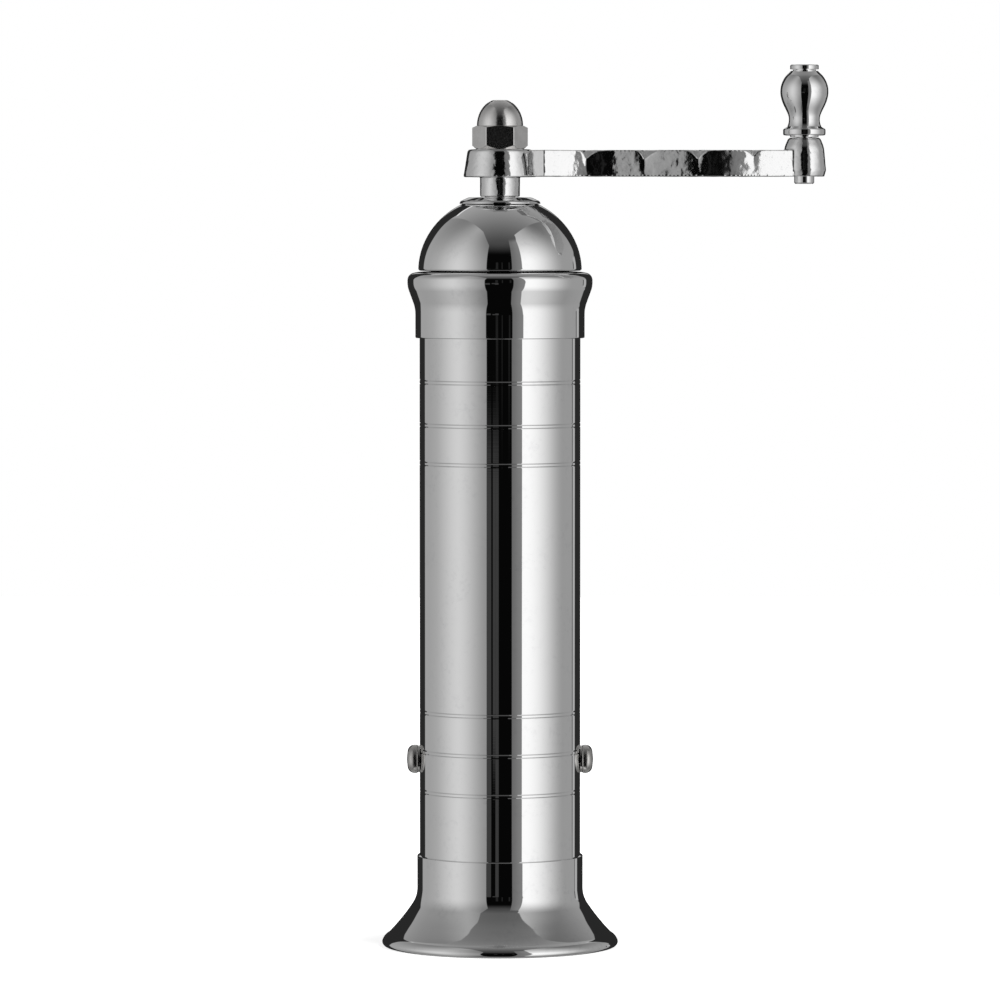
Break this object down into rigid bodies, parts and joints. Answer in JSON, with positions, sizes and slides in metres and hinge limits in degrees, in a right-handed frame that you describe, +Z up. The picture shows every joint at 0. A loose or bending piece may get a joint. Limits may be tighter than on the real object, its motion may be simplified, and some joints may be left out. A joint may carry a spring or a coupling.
{
  "type": "salt mill",
  "caption": "Tall hand cranked salt mill: polished metal tube on a flared foot, domed lid, scalloped cast crank with a turned knob, conical burrs with screw adjustment.",
  "frame": {"origin": "middle of the foot's underside, on the mill's axis", "axes": "+Z up along the mill's axis, +X along the crank towards its knob, -Y towards the front"},
  "size_m": [0.116, 0.0614, 0.2294],
  "materials": {
    "chrome": "polished",
    "chrome_trim": "polished",
    "cast_chrome": "gloss",
    "turned_chrome": "polished",
    "satin_nickel": "satin",
    "screw_chrome": "gloss",
    "plain_brass": "satin",
    "stainless_steel": "satin",
    "spring_steel": "satin",
    "housing_plastic": "satin",
    "burr_ceramic": "matte"
  },
  "bodies": {
    "root": {"body_tube": "chrome", "foot": "chrome", "collar": "chrome", "burr_housing": "housing_plastic", "outer_burr": "burr_ceramic", "shaft_guide": "stainless_steel", "guide_screws": "stainless_steel", "burr_spring": "spring_steel", "lower_bridge": "stainless_steel", "bridge_screws": "stainless_steel", "housing_screws": "screw_chrome", "screw_washers": "screw_chrome"},
    "lid": {"dome": "chrome", "top_bush": "chrome_trim", "bush_nut": "plain_brass"},
    "crank": {"drive_shaft": "stainless_steel", "thrust_washer": "stainless_steel", "retaining_ring": "spring_steel", "crank_arm": "cast_chrome", "cap_nut": "satin_nickel", "knob_pin": "turned_chrome"},
    "grip": {"knob": "turned_chrome"},
    "thrust": {"thrust_ball": "stainless_steel"},
    "rotor": {"inner_burr": "burr_ceramic", "spring_seat": "stainless_steel"},
    "adjuster": {"adjusting_screw": "stainless_steel"}
  },
  "joints": [
    {"name": "lid_lift", "type": "slide", "parent": "root", "child": "lid", "axis": [0, 0, 1], "range_m": [0, 0.14]},
    {"name": "crank_spin", "type": "hinge", "parent": "lid", "child": "crank", "pos_m": [0, 0, 0.19], "axis": [0, 0, 1], "continuous": true},
    {"name": "knob_spin", "type": "hinge", "parent": "crank", "child": "grip", "pos_m": [0.079, 0, 0.21], "axis": [0, 0, 1], "continuous": true},
    {"name": "grind_travel", "type": "slide", "parent": "root", "child": "thrust", "axis": [0, 0, 1], "range_m": [-0.0006, 0.0003], "deforming": ["burr_spring"]},
    {"name": "burr_spin", "type": "hinge", "parent": "thrust", "child": "rotor", "pos_m": [0, 0, 0.045], "axis": [0, 0, 1], "continuous": true},
    {"name": "adjuster_turn", "type": "hinge", "parent": "thrust", "child": "adjuster", "pos_m": [0, 0, 0.03], "axis": [0, 0, 1], "range_deg": [-216.2, 108.2]}
  ],
  "couplings": [
    {"joint": "burr_spin", "follows": "crank_spin", "ratio": 1},
    {"joint": "adjuster_turn", "follows": "grind_travel", "rad_per_m": 6283.2}
  ]
}
